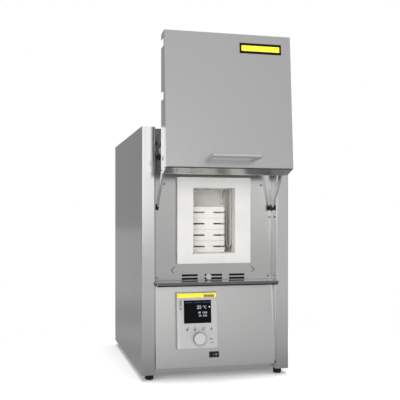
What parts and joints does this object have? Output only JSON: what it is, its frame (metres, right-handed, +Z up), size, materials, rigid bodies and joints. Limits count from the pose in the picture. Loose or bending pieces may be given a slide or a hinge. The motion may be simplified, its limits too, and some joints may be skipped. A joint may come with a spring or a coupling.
{
  "type": "laboratory furnace",
  "caption": "Bench-top laboratory furnace with a lift door on parallel arms, an insulated chamber with rod heating elements, a stack of saggars and a sloping control panel.",
  "frame": {"origin": "on the bench, under the centre of the bounding box with the door raised", "axes": "+Z up, -Y out of the front, +X to the right as seen from the front"},
  "size_m": [0.47, 0.897, 1.0322],
  "materials": {
    "alu": "turned aluminium, satin",
    "black": "black moulded plastic",
    "board": "green circuit board",
    "brushed": "brushed stainless steel sheet",
    "ceramic": "fired ceramic, matt cream",
    "copper": "enamelled copper wire",
    "core": "laminated steel",
    "element": "dark glazed heating rod",
    "fibre": "pressed ceramic fibre, matt off-white",
    "glass": "black display window",
    "jacket": "soft ceramic fibre blanket",
    "polished": "bright stainless steel",
    "rubber": "black rubber",
    "shaded": "satin stainless steel sheet",
    "silver": "silver-painted plastic",
    "sink": "grey anodised aluminium"
  },
  "bodies": {
    "cabinet": {"side_panel_right": "brushed", "side_panel_left": "brushed", "foot_front_left": "rubber", "foot_front_right": "rubber", "foot_rear_left": "rubber", "foot_rear_right": "rubber", "base_tray": "shaded", "rear_panel": "shaded", "top_cover": "brushed", "front_plate": "polished", "sill": "polished", "control_panel": "brushed", "controller_case": "silver", "controller_display": "glass", "controller_board": "board", "switch_frame": "black", "chamber_collar": "fibre", "chamber_wall_right": "fibre", "chamber_wall_left": "fibre", "chamber_floor_board": "fibre", "chamber_back_board": "fibre", "heating_element_right": "element", "heating_element_left": "element", "chamber_roof_board": "fibre", "insulation_jacket": "jacket", "element_holder_right": "ceramic", "element_holder_left": "ceramic", "thermocouple": "ceramic", "exhaust_pipe": "polished", "middle_deck": "shaded", "saggar_1": "ceramic", "saggar_2": "ceramic", "saggar_3": "ceramic", "saggar_4": "ceramic", "lower_bearing_right": "black", "lower_bearing_left": "black", "upper_bearing_right": "black", "upper_bearing_left": "black", "fan_frame": "black", "fan_guard": "polished", "cable_gland": "black", "transformer_core": "core", "transformer_coil": "copper", "power_unit_heat_sink": "sink"},
    "lower_arm_left": {"lower_arm_left": "polished"},
    "lower_arm_right": {"lower_arm_right": "polished"},
    "upper_arm_left": {"upper_arm_left": "polished"},
    "upper_arm_right": {"upper_arm_right": "polished"},
    "door": {"door_shell": "brushed", "door_frame": "shaded", "door_plug": "fibre", "door_handle": "polished"},
    "dial_plunger": {"encoder_shaft": "polished"},
    "dial": {"control_dial": "alu"},
    "rocker": {"switch_rocker": "black"},
    "air_slide": {"air_slide": "polished", "air_slide_knob": "silver"},
    "fan_rotor": {"fan_rotor": "black"}
  },
  "joints": [
    {"name": "door_lift", "type": "hinge", "parent": "cabinet", "child": "lower_arm_left", "pos_m": [0, -0.20805, 0.52697], "axis": [1, 0, 0], "range_deg": [0, 141]},
    {"name": "door_level", "type": "hinge", "parent": "lower_arm_left", "child": "door", "pos_m": [0, -0.32503, 0.66639], "axis": [1, 0, 0], "range_deg": [-141, 0]},
    {"name": "lower_arm_right_swing", "type": "hinge", "parent": "cabinet", "child": "lower_arm_right", "pos_m": [0, -0.20805, 0.52697], "axis": [1, 0, 0], "range_deg": [0, 141]},
    {"name": "upper_arm_left_swing", "type": "hinge", "parent": "cabinet", "child": "upper_arm_left", "pos_m": [0, -0.20805, 0.67997], "axis": [1, 0, 0], "range_deg": [0, 141]},
    {"name": "upper_arm_right_swing", "type": "hinge", "parent": "cabinet", "child": "upper_arm_right", "pos_m": [0, -0.20805, 0.67997], "axis": [1, 0, 0], "range_deg": [0, 141]},
    {"name": "dial_press", "type": "slide", "parent": "cabinet", "child": "dial_plunger", "axis": [0, 0.9974, -0.0726], "range_m": [0, 0.0012], "stiffness_N_per_m": 2500, "springref_m": -0.0004},
    {"name": "dial_turn", "type": "hinge", "parent": "dial_plunger", "child": "dial", "pos_m": [-0.0575, -0.23103, 0.12422], "axis": [0, 0.9974, -0.0726], "continuous": true},
    {"name": "mains_rocker", "type": "hinge", "parent": "cabinet", "child": "rocker", "pos_m": [-0.0065, -0.21037, 0.07057], "axis": [0, 0.0726, 0.9974], "range_deg": [-16, 0]},
    {"name": "air_slide_shift", "type": "slide", "parent": "cabinet", "child": "air_slide", "axis": [1, 0, 0], "range_m": [0, 0.024]},
    {"name": "fan_spin", "type": "hinge", "parent": "cabinet", "child": "fan_rotor", "pos_m": [0.095, 0.41595, 0.15], "axis": [0, 1, 0], "continuous": true}
  ],
  "couplings": [
    {"joint": "door_level", "follows": "door_lift", "ratio": -1},
    {"joint": "lower_arm_right_swing", "follows": "door_lift", "ratio": 1},
    {"joint": "upper_arm_left_swing", "follows": "door_lift", "ratio": 1},
    {"joint": "upper_arm_right_swing", "follows": "door_lift", "ratio": 1}
  ]
}
